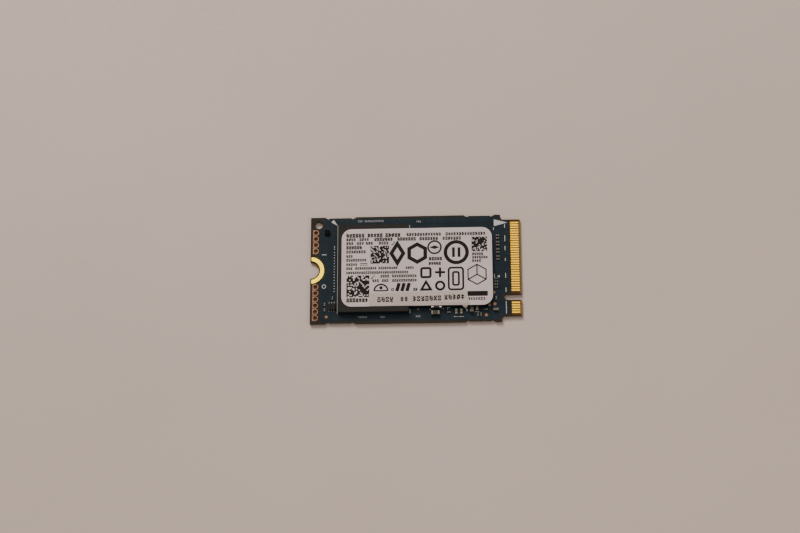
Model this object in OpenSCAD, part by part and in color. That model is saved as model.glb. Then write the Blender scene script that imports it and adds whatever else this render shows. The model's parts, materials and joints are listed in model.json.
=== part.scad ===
// Bare solid state drive: a 22 x 42 mm single-sided circuit board with an edge connector.
// Lengths are millimetres. X runs from the screw end to the edge connector, Z is up.
// Inside the modules X is counted from the screw end and Y from the board's centre line.

/* [Board] */
// Length of the board, screw end to connector end
board_length = 42; // [41.85:0.05:42.15]
// Width of the board
board_width = 22; // [21.85:0.05:22.15]
// Thickness of the finished board
board_thickness = 0.8; // [0.72:0.01:0.88]
// Thickness of each solder mask, plating and contact layer
foil_thickness = 0.03; // [0.02:0.005:0.04]
// Width of the connector tongue
tongue_width = 19.85; // [19.75:0.05:19.95]
// Length of the connector tongue beyond the board's shoulders
tongue_length = 4; // [3.9:0.05:4.1]
// Depth of the snap-off recesses along the long edges
tab_recess_depth = 0.18; // [0.1:0.02:0.25]
// Radius of the scallop at each end of a snap-off recess
scallop_radius = 0.35; // [0.3:0.01:0.4]

/* [Holes] */
// Radius of the half-round screw notch
screw_notch_radius = 1.75; // [1.7:0.01:1.8]
// Inner radius of the gold pad around the screw notch
screw_pad_inner_radius = 2; // [1.9:0.05:2.1]
// Outer radius of the gold pad around the screw notch
screw_pad_radius = 2.75; // [2.6:0.05:2.9]
// Diameter of the plain tooling hole
tooling_hole_diameter = 1.6; // [1.4:0.05:1.8]
// Drill diameter of the plated ring holes
ring_drill_diameter = 0.8; // [0.7:0.02:0.84]
// Pad width of the plated ring holes
ring_pad_width = 1.2; // [1.1:0.02:1.24]

/* [Edge connector] */
// Distance between neighbouring contacts
contact_pitch = 0.5; // [0.5:0.05:0.5]
// Width of one contact
contact_width = 0.31; // [0.3:0.01:0.38]
// Length of one contact
contact_length = 1.65; // [1.4:0.05:1.7]
// Width of the key notch
key_width = 1.2; // [1.15:0.01:1.25]
// Depth of the key notch from the connector end
key_depth = 3.5; // [3.3:0.05:3.7]

/* [Packages] */
// Length of the flash memory package, along X
flash_length = 14; // [13.8:0.1:14.2]
// Width of the flash memory package, along Y
flash_width = 18; // [17.8:0.1:18.2]
// Length of the controller package, along X
controller_length = 11; // [10.5:0.1:11.2]
// Width of the controller package, along Y
controller_width = 12; // [11.5:0.1:12.1]
// Height of both packages above the board
package_height = 1.2; // [1.15:0.01:1.3]
// Gap under the packages, filled by their solder balls
ball_height = 0.22; // [0.18:0.01:0.26]
// Thickness of the packages' substrates
substrate_thickness = 0.18; // [0.14:0.01:0.22]
// Number of silicon chips stacked in the flash package
die_count = 4; // [1:1:4]

/* [Labels] */
// Length of the main label
label_length = 29.9; // [29:0.1:30.5]
// Width of the main label
label_width = 16; // [15.5:0.1:16.5]
// Thickness of the main label
label_thickness = 0.09; // [0.06:0.01:0.12]
// Corner radius of the main label
label_corner = 2; // [1.5:0.1:2.5]
// Thickness of the second sticker
sticker_thickness = 0.07; // [0.05:0.01:0.1]
// Height of the pleat in the second sticker
pleat_height = 0.09; // [0.05:0.01:0.12]

/* [Hidden] */
$fn = 48;

// Heights of the board's layers
prepreg_thickness = 0.14;
top_foil_z = board_thickness - foil_thickness;
core_low_z = foil_thickness + prepreg_thickness;
core_high_z = top_foil_z - prepreg_thickness;

// Board outline
shoulder_x = board_length - tongue_length;
shoulder_fillet = 0.5;
tab_recesses = [[3, 9], [30.8, 36.7]];
scallop_inset = 0.55;
key_y = -6.125;
bevel_length = 0.3;
bevel_depth = 0.12;

// Plated and plain holes
screw_pad_setback = 0.25;
mask_clearance = 0.05;
tooling_hole_at = [1.6, 9.45];
ring_x = 1.05;
ring_pitch = 1.27;
ring_rows = concat([for (i = [0:3]) 7.8 - i * ring_pitch], [for (i = [0:5]) -3.48 - i * ring_pitch]);

// Copper planes inside the board
plane_inset = 0.55;
plane_start_x = 2.1;
plane_notch_radius = 3.1;
plane_hole_clearance = 0.35;

// Edge contacts: a full row is 38 places long and the key takes some out
first_contact_y = 9.25;
places_before_key = 29;
first_place_after_key = 33;
contacts_top_after_key = 5;
contacts_bottom_after_key = 4;
contact_x = board_length - 2.05;
mask_end_x = contact_x - 0.15;

// Bare copper test pads: X, Y and diameter
test_pads_above = [
    [3.3, -9.65, 0.6], [34.9, -9.7, 0.65], [36.6, -7.5, 0.65], [36.5, -5.1, 0.5], [21.5, -8.35, 0.4]
];
test_pads_below = [
    [8.5, 7.5, 0.8], [8.5, 5.5, 0.8], [8.5, 3.5, 0.8], [24, -8, 0.8], [26, -8, 0.8], [33.5, 4, 0.8]
];

// Ball grid packages
package_top = board_thickness + package_height;
substrate_z = board_thickness + ball_height;
mould_z = substrate_z + substrate_thickness;
flash_at = [12.65, 0];
controller_at = [29.5, 0];
ball_pitch = 1;
ball_pad_radius = 0.2;
ball_radius = 0.25;
die_size = [11.5, 9.5, 0.07];
film_thickness = 0.02;
die_stagger = 0.3;
controller_die_size = [5.2, 4.8, 0.2];

// Parts soldered on the top face stand on a thin layer of solder
solder_thickness = 0.02;
part_z = board_thickness + solder_thickness;
cap_wall = 0.02;
solder_toe = 0.12;
solder_climb = 0.55;

// Two-ended parts: length, width, height and width of each metal end
size_0805 = [2, 1.25, 0.95, 0.42];
size_0603 = [1.6, 0.8, 0.75, 0.32];
size_0402 = [1, 0.5, 0.5, 0.24];
size_0201 = [0.6, 0.3, 0.28, 0.15];
size_resistor = [0.6, 0.3, 0.22, 0.15];

// Places of the two-ended parts: X, Y and turn
places_0805 = [[25.1, -7.6, 0]];
places_0603 = [[24.9, -9.2, 0], [21.1, 7, 90], [22.6, 7, 90]];
places_bead = [[32.05, -8.35, 90]];
places_0402 = concat(
    [[29, -9, 90], [30, -9, 90], [33.1, -8.3, 90], [35.55, -7.55, 90], [36.8, -8.67, 0]],
    [for (x = [29.6, 30.8, 32]) [x, 6.9, 90]],
    [for (x = [26.9, 28]) [x, -6.8, 90]],
    [for (y = [-5.4, -6.4]) [21.6, y, 0]]
);
coupling_rows = [6.6, 6, 5.2, 4.6, 3.7, 3.1, 2.25, 1.65];
places_0201 = concat(
    [for (y = coupling_rows) [37.4, y, 0]],
    [[2.95, -7.12, 90], [2.95, -8.28, 90], [4.5, -5.85, 90], [27.55, -9.1, 0]],
    [[33.25, -9.62, 90], [33.85, -9.62, 90], [34.85, -8.65, 0], [36.9, -6.3, 90]]
);
places_resistor = [for (y = [-2.3, -2.9, -3.5, -4.1]) [36.95, y, 0]];

// Other parts
six_lead_at = [4.35, -7.65];
six_lead_body = [1.6, 1.2, 0.55];
lead_pitch = 0.5;
lead_width = 0.2;
lead_thickness = 0.1;
lead_reach = 1.02;
foot_length = 0.26;
square_chip_at = [3.35, 7.75];
square_chip_size = [1, 1, 0.4];
power_chip_at = [21.85, -3];
power_chip_size = [3, 3, 0.7];
power_leads_per_side = 5;
power_lead = [0.26, 0.35, 0.15];
power_pad_side = 1.8;
inductor_size = [2.5, 2, 1];
inductor_rows = [4.7, 2.4, 0.1];
inductor_x = 21.85;
inductor_terminal = [0.55, 1.6, 0.08];
crystal_at = [27, 7.1];
crystal_size = [2, 1.6, 0.3];
crystal_lid_size = [1.7, 1.3, 0.18];

// Labels
label_at = [21.3, 0.05];
sticker_outline = [
    [11.8, -5.35], [31.1, -4.95], [31.55, -7.6], [31, -8.45], [30.5, -8.4], [30.1, -7.9], [11.85, -7.9]
];
pleat_outline = [[24, -7.3], [31.3, -7.35], [31.35, -7.6], [24, -7.4]];

// Moves a drawing that is counted from the screw end to the board's middle
module from_screw_end() {
    translate([-board_length / 2, 0, 0]) children();
}

// A block standing on z, centred on X and Y
module block(at, z, size) {
    translate([at[0] - size[0] / 2, at[1] - size[1] / 2, z]) cube(size);
}

// ---------- Circuit board ----------

module shoulder_fillets() {
    for (side = [-1, 1]) {
        low_y = side > 0 ? tongue_width / 2 : -tongue_width / 2 - shoulder_fillet;
        difference() {
            translate([shoulder_x, low_y]) square(shoulder_fillet);
            translate([shoulder_x + shoulder_fillet, side * (tongue_width / 2 + shoulder_fillet)])
                circle(r = shoulder_fillet);
        }
    }
}

module key_notch() {
    inner_x = board_length - key_depth + key_width / 2;
    translate([inner_x, key_y]) circle(d = key_width);
    translate([inner_x, key_y - key_width / 2]) square([key_depth, key_width]);
}

module tab_recess(side, span) {
    low_y = side > 0 ? board_width / 2 - tab_recess_depth : -board_width / 2 - 1;
    translate([span[0], low_y]) square([span[1] - span[0], tab_recess_depth + 1]);
    for (x = [span[0] + scallop_inset, span[1] - scallop_inset])
        translate([x, side * board_width / 2]) circle(r = scallop_radius);
}

module board_outline() {
    difference() {
        union() {
            translate([0, -board_width / 2]) square([shoulder_x, board_width]);
            translate([0, -tongue_width / 2]) square([board_length, tongue_width]);
            shoulder_fillets();
        }
        key_notch();
        for (side = [-1, 1])
            for (span = tab_recesses)
                tab_recess(side, span);
    }
}

module ring_circles(diameter) {
    for (y = ring_rows)
        translate([ring_x, y]) circle(d = diameter);
}

module tooling_circle(diameter) {
    translate(tooling_hole_at) circle(d = diameter);
}

module bevel_cut(low_z) {
    translate([0, -board_width / 2, 0])
        rotate([-90, 0, 0])
            linear_extrude(board_width)
                polygon([
                    [board_length + 1, -low_z], [board_length, -low_z],
                    [board_length - bevel_length, -top_foil_z],
                    [board_length - bevel_length, -1 - top_foil_z],
                    [board_length + 1, -1 - top_foil_z]
                ]);
}

module laminate_layer(low_z, high_z) {
    translate([0, 0, low_z])
        linear_extrude(high_z - low_z)
            difference() {
                board_outline();
                circle(r = screw_notch_radius);
                ring_circles(ring_drill_diameter + 2 * foil_thickness);
                tooling_circle(tooling_hole_diameter);
            }
}

module plane_layer(low_z) {
    translate([0, 0, low_z])
        linear_extrude(foil_thickness)
            difference() {
                translate([plane_start_x, plane_inset - board_width / 2])
                    square([shoulder_x - plane_inset - plane_start_x, board_width - 2 * plane_inset]);
                circle(r = plane_notch_radius);
                tooling_circle(tooling_hole_diameter + 2 * plane_hole_clearance);
            }
}

module laminate_core() {
    color("darkgoldenrod")
        from_screw_end()
            difference() {
                laminate_layer(core_low_z, core_high_z);
                plane_layer(core_low_z);
                plane_layer(core_high_z - foil_thickness);
            }
}

module laminate_upper() {
    color("goldenrod")
        from_screw_end()
            difference() {
                laminate_layer(core_high_z, top_foil_z);
                bevel_cut(top_foil_z - bevel_depth);
            }
}

module laminate_lower() {
    color("goldenrod")
        from_screw_end()
            difference() {
                laminate_layer(foil_thickness, core_low_z);
                translate([0, 0, board_thickness])
                    mirror([0, 0, 1])
                        bevel_cut(top_foil_z - bevel_depth);
            }
}

module ground_plane() {
    color("peru")
        from_screw_end()
            plane_layer(core_high_z - foil_thickness);
}

module power_plane() {
    color("peru")
        from_screw_end()
            plane_layer(core_low_z);
}

module ring_pad_outline(width) {
    circle(d = width);
    translate([-width / 2, -width / 2]) square([width / 2, width]);
}

module test_circles(pads, clearance) {
    for (pad = pads)
        translate([pad[0], pad[1]]) circle(d = pad[2] + 2 * clearance);
}

module mask_layer(low_z, pads) {
    translate([0, 0, low_z])
        linear_extrude(foil_thickness)
            difference() {
                board_outline();
                translate([mask_end_x, -board_width / 2]) square([board_length, board_width]);
                circle(r = screw_pad_radius + mask_clearance);
                for (y = ring_rows)
                    translate([ring_x, y]) ring_pad_outline(ring_pitch + 0.02);
                tooling_circle(tooling_hole_diameter);
                test_circles(pads, mask_clearance);
            }
}

module solder_mask_top() {
    color("#1d2b31")
        from_screw_end()
            mask_layer(top_foil_z, test_pads_above);
}

module solder_mask_bottom() {
    color("#1d2b31")
        from_screw_end()
            mask_layer(0, test_pads_below);
}

module contact_row(low_z, first_y, after_key) {
    for (place = [0:places_before_key - 1])
        contact_at(first_y - place * contact_pitch, low_z);
    for (place = [first_place_after_key:first_place_after_key + after_key - 1])
        contact_at(first_y - place * contact_pitch, low_z);
}

module contact_at(y, low_z) {
    translate([contact_x, y - contact_width / 2, low_z])
        cube([contact_length, contact_width, foil_thickness]);
}

module contacts_top() {
    color("gold")
        from_screw_end()
            contact_row(top_foil_z, first_contact_y, contacts_top_after_key);
}

module contacts_bottom() {
    color("gold")
        from_screw_end()
            contact_row(0, first_contact_y - contact_pitch / 2, contacts_bottom_after_key);
}

module screw_pad(low_z) {
    translate([0, 0, low_z])
        linear_extrude(foil_thickness)
            difference() {
                circle(r = screw_pad_radius);
                translate([screw_pad_setback - board_width, -board_width / 2]) square(board_width);
                circle(r = screw_pad_inner_radius);
            }
}

module screw_pads() {
    color("gold")
        from_screw_end() {
            screw_pad(0);
            screw_pad(top_foil_z);
        }
}

module ring_hole_plating() {
    color("rosybrown")
        from_screw_end()
            for (y = ring_rows)
                translate([ring_x, y, 0])
                    difference() {
                        union() {
                            for (z = [0, top_foil_z])
                                translate([0, 0, z])
                                    linear_extrude(foil_thickness) ring_pad_outline(ring_pad_width);
                            cylinder(d = ring_drill_diameter + 2 * foil_thickness, h = board_thickness);
                        }
                        translate([0, 0, -1]) cylinder(d = ring_drill_diameter, h = board_thickness + 2);
                    }
}

module test_pads_top() {
    color("darksalmon")
        from_screw_end()
            translate([0, 0, top_foil_z]) linear_extrude(foil_thickness) test_circles(test_pads_above, 0);
}

module test_pads_bottom() {
    color("darksalmon")
        from_screw_end()
            linear_extrude(foil_thickness) test_circles(test_pads_below, 0);
}

// ---------- Ball grid packages ----------

module solder_ball() {
    half = ball_height / 2;
    bulge = ball_radius - ball_pad_radius;
    steps = 4;
    translate([0, 0, board_thickness])
        rotate_extrude($fn = 24)
            polygon(concat(
                [[0, 0]],
                [for (i = [0:steps])
                    let (t = 2 * i / steps - 1) [ball_pad_radius + bulge * (1 - t * t), half * (1 + t)]],
                [[0, ball_height]]
            ));
}

module flash_dies() {
    color("slategray")
        from_screw_end()
            flash_stack(film_thickness, die_size[2]);
}

module flash_die_films() {
    color("khaki")
        from_screw_end()
            flash_stack(0, film_thickness);
}

// One layer of each step in the staggered stack of silicon chips
module flash_stack(offset_z, thickness) {
    step_z = die_size[2] + film_thickness;
    for (i = [0:die_count - 1])
        block(
            [flash_at[0] + die_stagger * (i - (die_count - 1) / 2), flash_at[1]],
            mould_z + i * step_z + offset_z,
            [die_size[0], die_size[1], thickness]
        );
}

module flash_substrate() {
    color("darkolivegreen")
        from_screw_end()
            block(flash_at, substrate_z, [flash_length, flash_width, substrate_thickness]);
}

module flash_mould() {
    color("#241f1e")
        from_screw_end()
            difference() {
                block(flash_at, mould_z, [flash_length, flash_width, package_top - mould_z]);
                flash_stack(0, film_thickness);
                flash_stack(film_thickness, die_size[2]);
            }
}

// Columns left and right of a clear lane, and a few corner balls at each end
module flash_solder_balls() {
    columns = [for (c = [2:6]) each [-c, c]];
    corner_columns = [for (c = [5:6]) each [-c, c]];
    color("silver")
        from_screw_end()
            translate([flash_at[0], flash_at[1], 0]) {
                for (row = [-6:6], column = columns)
                    translate([column * ball_pitch, row * ball_pitch, 0]) solder_ball();
                for (row = [-8, -7, 7, 8], column = corner_columns)
                    translate([column * ball_pitch, row * ball_pitch, 0]) solder_ball();
            }
}

module controller_substrate() {
    color("darkolivegreen")
        from_screw_end()
            block(controller_at, substrate_z, [controller_length, controller_width, substrate_thickness]);
}

module controller_mould() {
    color("#241f1e")
        from_screw_end()
            difference() {
                block(controller_at, mould_z, [controller_length, controller_width, package_top - mould_z]);
                block(controller_at, mould_z, controller_die_size);
            }
}

module controller_die() {
    color("slategray")
        from_screw_end()
            block(controller_at, mould_z, controller_die_size);
}

// A ring of balls two deep around a block of balls under the silicon
module controller_solder_balls() {
    last_column = 4.5;
    last_row = 5;
    color("silver")
        from_screw_end()
            translate([controller_at[0], controller_at[1], 0])
                for (column = [-last_column:last_column], row = [-last_row:last_row]) {
                    outer = max(abs(column) - last_column, abs(row) - last_row) > -2;
                    inner = abs(column) < 2 && abs(row) < 2;
                    if (outer || inner)
                        translate([column * ball_pitch, row * ball_pitch, 0]) solder_ball();
                }
}

// ---------- Small parts ----------

module at_places(places) {
    for (place = places)
        translate([place[0], place[1], part_z]) rotate([0, 0, place[2]]) children();
}

module chip_core(size) {
    block([0, 0], cap_wall, [size[0] - 2 * cap_wall, size[1] - 2 * cap_wall, size[2] - 2 * cap_wall]);
}

module chip_ends(size) {
    for (side = [-1, 1])
        difference() {
            block([side * (size[0] - size[3]) / 2, 0], 0, [size[3], size[1], size[2]]);
            chip_core(size);
        }
}

// Solder under both metal ends, climbing their outer faces
module chip_solder(size) {
    end_x = size[0] / 2;
    climb = solder_climb * size[2];
    for (turn = [0, 180])
        rotate([0, 0, turn])
            translate([0, size[1] / 2, -solder_thickness])
                rotate([90, 0, 0])
                    linear_extrude(size[1])
                        polygon([
                            [end_x - size[3], 0], [end_x + solder_toe, 0],
                            [end_x + solder_toe / 3, climb / 3], [end_x, climb],
                            [end_x, solder_thickness], [end_x - size[3], solder_thickness]
                        ]);
}

module capacitor_0805_body() {
    color("#3a2d26") from_screw_end() at_places(places_0805) chip_core(size_0805);
}

module capacitor_0805_terminals() {
    color("silver") from_screw_end() at_places(places_0805) chip_ends(size_0805);
}

module capacitor_0603_bodies() {
    color("#7d6c52") from_screw_end() at_places(places_0603) chip_core(size_0603);
}

module capacitor_0603_terminals() {
    color("silver") from_screw_end() at_places(places_0603) chip_ends(size_0603);
}

module capacitor_0402_bodies() {
    color("#7d6c52") from_screw_end() at_places(places_0402) chip_core(size_0402);
}

module capacitor_0402_terminals() {
    color("silver") from_screw_end() at_places(places_0402) chip_ends(size_0402);
}

module capacitor_0201_bodies() {
    color("#4a3f36") from_screw_end() at_places(places_0201) chip_core(size_0201);
}

module capacitor_0201_terminals() {
    color("silver") from_screw_end() at_places(places_0201) chip_ends(size_0201);
}

module ferrite_bead_body() {
    color("#2b2d24") from_screw_end() at_places(places_bead) chip_core(size_0603);
}

module ferrite_bead_terminals() {
    color("#55564a") from_screw_end() at_places(places_bead) chip_ends(size_0603);
}

module resistor_ceramic() {
    difference() {
        chip_core(size_resistor);
        resistor_coat();
    }
}

module resistor_coat() {
    size = size_resistor;
    coat = [size[0] - 2 * size[3], size[1] - 2 * cap_wall, cap_wall];
    block([0, 0], size[2] - 2 * cap_wall, coat);
}

module resistor_0201_bodies() {
    color("white") from_screw_end() at_places(places_resistor) resistor_ceramic();
}

module resistor_0201_coats() {
    color("#151515") from_screw_end() at_places(places_resistor) resistor_coat();
}

module resistor_0201_terminals() {
    color("silver") from_screw_end() at_places(places_resistor) chip_ends(size_resistor);
}

// A bent lead: out of the body's side, down, and out along the board
module bent_lead(side_y) {
    exit_z = six_lead_body[2] / 2;
    knee_y = side_y + 1.6 * lead_thickness;
    rotate([90, 0, 90])
        linear_extrude(lead_width, center = true)
            polygon([
                [side_y, exit_z], [side_y, exit_z + lead_thickness], [knee_y, exit_z + lead_thickness],
                [knee_y + lead_thickness, lead_thickness], [lead_reach, lead_thickness], [lead_reach, 0],
                [knee_y, 0], [knee_y - 0.2 * lead_thickness, exit_z]
            ]);
}

module six_lead_chip_leads() {
    color("silver")
        from_screw_end()
            translate([six_lead_at[0], six_lead_at[1], part_z])
                for (turn = [0, 180], column = [-1, 0, 1])
                    rotate([0, 0, turn])
                        translate([column * lead_pitch, 0, 0]) bent_lead(six_lead_body[1] / 2);
}

module six_lead_chip_body() {
    color("#1b1a1c")
        from_screw_end()
            block(six_lead_at, part_z + lead_thickness / 2,
                [six_lead_body[0], six_lead_body[1], six_lead_body[2] - lead_thickness / 2]);
}

module square_chip_body() {
    color("#141210") from_screw_end() block(square_chip_at, part_z, square_chip_size);
}

module square_chip_pads() {
    inset = square_chip_size[0] / 4;
    color("silver")
        from_screw_end()
            for (x = [-inset, inset], y = [-inset, inset])
                block([square_chip_at[0] + x, square_chip_at[1] + y], board_thickness,
                    [0.3, 0.3, solder_thickness]);
}

module power_leads(height) {
    edge = power_chip_size[0] / 2 - power_lead[1] / 2;
    for (turn = [0:90:270], i = [0:power_leads_per_side - 1])
        rotate([0, 0, turn])
            block([edge, lead_pitch * (i - (power_leads_per_side - 1) / 2)], 0,
                [power_lead[1], power_lead[0], height]);
    block([0, 0], 0, [power_pad_side, power_pad_side, height]);
}

module power_chip_leads() {
    color("silver")
        from_screw_end()
            translate([power_chip_at[0], power_chip_at[1], part_z]) power_leads(power_lead[2]);
}

module power_chip_body() {
    color("#1b1a1c")
        from_screw_end()
            translate([power_chip_at[0], power_chip_at[1], part_z])
                difference() {
                    block([0, 0], 0, power_chip_size);
                    power_leads(power_lead[2]);
                }
}

// Angle pieces that wrap each end and the underside of an inductor
module inductor_ends() {
    foot = inductor_terminal;
    for (turn = [0, 180])
        rotate([0, 0, turn]) {
            block([(inductor_size[0] - foot[0]) / 2, 0], 0, foot);
            block([(inductor_size[0] - foot[2]) / 2, 0], 0, [foot[2], foot[1], inductor_size[2] * 0.6]);
        }
}

module at_inductors() {
    for (y = inductor_rows)
        translate([inductor_x, y, part_z]) children();
}

module inductor_bodies() {
    color("dimgray")
        from_screw_end()
            at_inductors()
                difference() {
                    block([0, 0], 0, inductor_size);
                    inductor_ends();
                }
}

module inductor_terminals() {
    color("silver") from_screw_end() at_inductors() inductor_ends();
}

module crystal_base() {
    color("#8a8378") from_screw_end() block(crystal_at, part_z, crystal_size);
}

module crystal_lid() {
    color("lightsteelblue") from_screw_end() block(crystal_at, part_z + crystal_size[2], crystal_lid_size);
}

// Thin solder under the feet of the parts that have no end faces to climb
module foot_solder() {
    translate([six_lead_at[0], six_lead_at[1], 0])
        for (turn = [0, 180], column = [-1, 0, 1])
            rotate([0, 0, turn])
                block([column * lead_pitch, lead_reach - foot_length / 2], board_thickness,
                    [lead_width + 0.04, foot_length + 0.04, solder_thickness]);
    translate([power_chip_at[0], power_chip_at[1], board_thickness])
        power_leads(solder_thickness);
    for (y = inductor_rows, side = [-1, 1])
        block([inductor_x + side * (inductor_size[0] - inductor_terminal[0]) / 2, y], board_thickness,
            [inductor_terminal[0], inductor_terminal[1], solder_thickness]);
    for (x = [-1, 1], y = [-1, 1])
        block([crystal_at[0] + x * crystal_size[0] / 4, crystal_at[1] + y * crystal_size[1] / 4],
            board_thickness, [0.5, 0.4, solder_thickness]);
}

module solder_joints() {
    color("gainsboro")
        from_screw_end() {
            at_places(places_0805) chip_solder(size_0805);
            at_places(concat(places_0603, places_bead)) chip_solder(size_0603);
            at_places(places_0402) chip_solder(size_0402);
            at_places(places_0201) chip_solder(size_0201);
            at_places(places_resistor) chip_solder(size_resistor);
            foot_solder();
        }
}

// ---------- Labels ----------

module rounded_sheet(size, radius) {
    square([size[0] - 2 * radius, size[1]], center = true);
    square([size[0], size[1] - 2 * radius], center = true);
    for (x = [-1, 1], y = [-1, 1])
        translate([x * (size[0] / 2 - radius), y * (size[1] / 2 - radius)]) circle(r = radius);
}

module main_label() {
    color("#c4b6b0")
        from_screw_end()
            translate([label_at[0], label_at[1], package_top])
                linear_extrude(label_thickness) rounded_sheet([label_length, label_width], label_corner);
}

module second_sticker() {
    color("#b8ac9c")
        from_screw_end()
            translate([0, 0, package_top + label_thickness]) {
                linear_extrude(sticker_thickness) polygon(sticker_outline);
                linear_extrude(sticker_thickness + pleat_height) polygon(pleat_outline);
            }
}

// ---------- Draw ----------

laminate_core();
laminate_upper();
laminate_lower();
ground_plane();
power_plane();
solder_mask_top();
solder_mask_bottom();
contacts_top();
contacts_bottom();
screw_pads();
ring_hole_plating();
test_pads_top();
test_pads_bottom();
flash_substrate();
flash_mould();
flash_dies();
flash_die_films();
flash_solder_balls();
controller_substrate();
controller_mould();
controller_die();
controller_solder_balls();
power_chip_body();
power_chip_leads();
inductor_bodies();
inductor_terminals();
crystal_base();
crystal_lid();
six_lead_chip_body();
six_lead_chip_leads();
square_chip_body();
square_chip_pads();
ferrite_bead_body();
ferrite_bead_terminals();
capacitor_0805_body();
capacitor_0805_terminals();
capacitor_0603_bodies();
capacitor_0603_terminals();
capacitor_0402_bodies();
capacitor_0402_terminals();
capacitor_0201_bodies();
capacitor_0201_terminals();
resistor_0201_bodies();
resistor_0201_coats();
resistor_0201_terminals();
solder_joints();
main_label();
second_sticker();
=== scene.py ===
"""Looks of a bare solid state drive: materials, label, print, board relief, solder, floor, light and camera.

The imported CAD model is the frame. Lengths in the making functions are millimetres on the board:
X is counted from the screw end, Y from the centre line, Z from the board's underside.
"""

import json
import math
import random

import bmesh
import bpy
from mathutils import Matrix, Vector

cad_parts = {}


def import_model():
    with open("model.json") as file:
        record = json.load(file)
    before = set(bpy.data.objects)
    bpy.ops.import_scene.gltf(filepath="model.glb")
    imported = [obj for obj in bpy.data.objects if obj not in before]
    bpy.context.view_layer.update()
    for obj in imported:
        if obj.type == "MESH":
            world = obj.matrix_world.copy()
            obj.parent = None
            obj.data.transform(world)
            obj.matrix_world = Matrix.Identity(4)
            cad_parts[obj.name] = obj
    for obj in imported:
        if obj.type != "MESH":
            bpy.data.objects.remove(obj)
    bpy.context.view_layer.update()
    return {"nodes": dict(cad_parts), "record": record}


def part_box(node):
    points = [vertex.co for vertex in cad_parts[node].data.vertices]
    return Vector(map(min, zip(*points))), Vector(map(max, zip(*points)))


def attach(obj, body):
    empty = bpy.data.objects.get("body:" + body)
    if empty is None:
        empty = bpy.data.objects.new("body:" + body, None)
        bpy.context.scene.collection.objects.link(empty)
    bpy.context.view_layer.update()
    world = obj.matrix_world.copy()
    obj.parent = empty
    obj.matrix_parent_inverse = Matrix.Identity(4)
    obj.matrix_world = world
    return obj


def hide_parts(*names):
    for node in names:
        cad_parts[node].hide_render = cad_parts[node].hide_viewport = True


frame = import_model()
nodes = frame["nodes"]

MM = 0.001
METRES_TO_MM = 1000.0
SCREW_END_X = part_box("laminate_core")[0][0]
BOARD_LENGTH = (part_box("laminate_core")[1][0] - SCREW_END_X) / MM
BOARD_WIDTH = (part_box("laminate_core")[1][1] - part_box("laminate_core")[0][1]) / MM
BOARD_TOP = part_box("solder_mask_top")[1][2] / MM
PACKAGE_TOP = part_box("flash_mould")[1][2] / MM
FLASH_END_X = (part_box("flash_mould")[1][0] - SCREW_END_X) / MM
CONTROLLER_START_X = (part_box("controller_mould")[0][0] - SCREW_END_X) / MM
CONTROLLER_END_X = (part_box("controller_mould")[1][0] - SCREW_END_X) / MM
CONTROLLER_SIDE_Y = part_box("controller_mould")[1][1] / MM


def world(x, y, z):
    """A point on the board, in millimetres, as a point of the frame, in metres."""
    return (SCREW_END_X + x * MM, y * MM, z * MM)


def put_in_scene(name, data):
    made = bpy.data.objects.new(name, data)
    bpy.context.scene.collection.objects.link(made)
    return made


# ---------------- materials


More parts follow.
